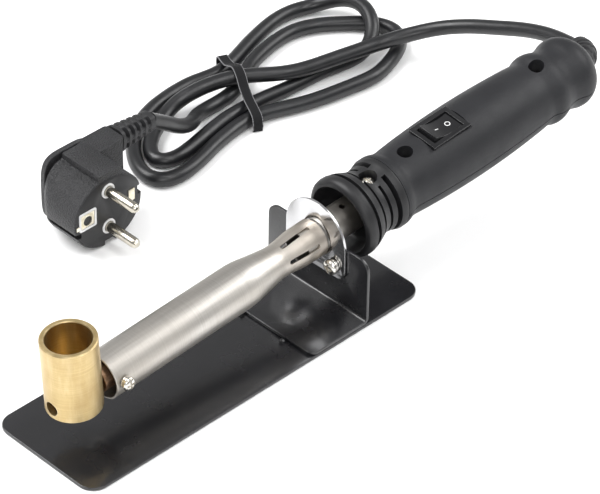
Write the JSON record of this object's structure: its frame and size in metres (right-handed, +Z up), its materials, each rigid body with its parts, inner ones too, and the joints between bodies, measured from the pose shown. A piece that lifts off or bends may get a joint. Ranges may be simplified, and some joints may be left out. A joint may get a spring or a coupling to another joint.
{
  "type": "soldering iron with stand",
  "caption": "Mains soldering iron with a brass solder crucible tip, screwed to a bent sheet-metal bench stand, with rocker switch, coiled lead and earthed plug.",
  "frame": {"origin": "centre of the base plate's underside, on the table", "axes": "+X along the plate from the crucible end towards the handle, +Z up, +Y towards the side where the lead lies"},
  "size_m": [0.336, 0.192, 0.0589],
  "materials": {
    "black_paint": "semi-gloss black paint",
    "brushed_steel": "brushed stainless steel with light heat tint",
    "bright_steel": "bright plated sheet",
    "nickel_plate": "nickel plated",
    "brass": "fine turned brass",
    "oxidised_steel": "dark oxidised rod",
    "ceramic": "matt ceramic core",
    "handle_plastic": "matt moulded plastic",
    "switch_plastic": "semi-gloss moulded plastic",
    "plug_plastic": "fine textured moulding",
    "cord_rubber": "satin cable sheath",
    "tie_band": "flat woven tie"
  },
  "bodies": {
    "stand": {"base_plate": "black_paint", "stand_bracket": "black_paint", "bracket_weld_right": "black_paint", "bracket_weld_left": "black_paint", "heater_barrel": "brushed_steel", "support_sleeve": "brushed_steel", "mounting_flange": "bright_steel", "flange_screw_right": "nickel_plate", "flange_screw_left": "nickel_plate", "flange_washer_right": "nickel_plate", "flange_washer_left": "nickel_plate", "clamp_screw": "nickel_plate", "clamp_washer": "nickel_plate", "nose_screw": "nickel_plate", "handle_screw_front": "nickel_plate", "handle_screw_rear": "nickel_plate", "plug_pin_upper": "nickel_plate", "plug_pin_lower": "nickel_plate", "plug_earth_clip_left": "nickel_plate", "plug_earth_clip_right": "nickel_plate", "heating_element": "ceramic", "handle_nose": "handle_plastic", "handle_upper_shell": "handle_plastic", "handle_lower_shell": "handle_plastic", "switch_housing": "switch_plastic", "plug_body": "plug_plastic", "cord_strain_relief": "cord_rubber", "cord_lead": "cord_rubber", "cord_hank": "cord_rubber", "cord_tail": "cord_rubber", "plug_strain_relief": "cord_rubber", "cord_tie": "tie_band"},
    "rocker": {"switch_rocker": "switch_plastic"},
    "crucible": {"crucible": "brass", "crucible_shank": "oxidised_steel"}
  },
  "joints": [
    {"name": "rocker_tilt", "type": "hinge", "parent": "stand", "child": "rocker", "pos_m": [0.13188, -0.00156, 0.05213], "axis": [0.0062, -0.9945, -0.1043], "range_deg": [0, 18]},
    {"name": "crucible_slide", "type": "slide", "parent": "stand", "child": "crucible", "axis": [-0.9982, 0, -0.0597], "range_m": [0, 0.045]}
  ]
}
